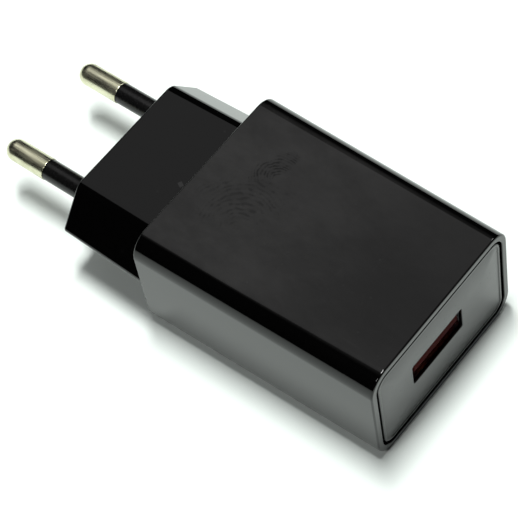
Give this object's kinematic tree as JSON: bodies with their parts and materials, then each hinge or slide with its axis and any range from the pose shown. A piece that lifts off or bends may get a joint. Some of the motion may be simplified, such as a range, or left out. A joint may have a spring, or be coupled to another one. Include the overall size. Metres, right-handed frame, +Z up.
{
  "type": "usb wall charger",
  "caption": "Black wall charger with two round mains pins on a six-sided plug neck, a rounded rectangular body and one USB port in an inset end plate.",
  "frame": {"origin": "middle of the footprint: the bounding box's centre in X and Y, on the face it lies on", "axes": "+X from the mains pins to the USB port, +Z up through the body's thickness, +Y across the width"},
  "size_m": [0.0828, 0.0364, 0.0226],
  "materials": {
    "case": "glossy black, polished mould",
    "end_plate": "fine satin black",
    "pin_metal": "nickel plated, warm",
    "pin_sleeve": "smooth black",
    "carrier": "moulded",
    "wire": "insulated wire",
    "board": "glass-fibre board with solder mask",
    "ferrite": "sintered ferrite",
    "bobbin": "moulded",
    "winding": "taped copper winding",
    "capacitor": "sleeved can",
    "disc": "dipped ceramic",
    "resistor": "coated",
    "chip": "moulded package",
    "usb_steel": "nickel plated steel",
    "usb_tongue": "orange moulding",
    "contact": "gold flashed",
    "film": "insulating film"
  },
  "bodies": {
    "charger": {"housing": "case", "port_panel": "end_plate", "pin_live": "pin_metal", "pin_neutral": "pin_metal", "pin_sleeve_live": "pin_sleeve", "pin_sleeve_neutral": "pin_sleeve", "pin_carrier": "carrier", "lead_live": "wire", "lead_neutral": "wire", "circuit_board": "board", "transformer_core": "ferrite", "transformer_bobbin": "bobbin", "transformer_winding": "winding", "primary_capacitor_1": "capacitor", "primary_capacitor_2": "capacitor", "output_capacitor": "capacitor", "safety_capacitor": "disc", "fusible_resistor": "resistor", "input_choke": "ferrite", "optocoupler": "chip", "bridge_rectifier": "chip", "controller_chip": "chip", "output_rectifier": "chip", "insulation_sheet": "film", "usb_shell": "usb_steel", "usb_tongue": "usb_tongue", "usb_contact_tail_1": "contact", "usb_contact_tail_2": "contact", "usb_contact_tail_3": "contact", "usb_contact_tail_4": "contact"},
    "contact_leaf_1": {"usb_contact_1": "contact"},
    "contact_leaf_2": {"usb_contact_2": "contact"},
    "contact_leaf_3": {"usb_contact_3": "contact"},
    "contact_leaf_4": {"usb_contact_4": "contact"}
  },
  "joints": [
    {"name": "contact_1_flex", "type": "hinge", "parent": "charger", "child": "contact_leaf_1", "pos_m": [0.0302, -0.0047, 0.01209], "axis": [0, -1, 0], "range_deg": [0, 2.8], "stiffness_Nm_per_rad": 0.12},
    {"name": "contact_2_flex", "type": "hinge", "parent": "charger", "child": "contact_leaf_2", "pos_m": [0.0302, -0.0022, 0.01209], "axis": [0, -1, 0], "range_deg": [0, 2.8], "stiffness_Nm_per_rad": 0.12},
    {"name": "contact_3_flex", "type": "hinge", "parent": "charger", "child": "contact_leaf_3", "pos_m": [0.0302, -0.0002, 0.01209], "axis": [0, -1, 0], "range_deg": [0, 2.8], "stiffness_Nm_per_rad": 0.12},
    {"name": "contact_4_flex", "type": "hinge", "parent": "charger", "child": "contact_leaf_4", "pos_m": [0.0302, 0.0023, 0.01209], "axis": [0, -1, 0], "range_deg": [0, 2.8], "stiffness_Nm_per_rad": 0.12}
  ]
}
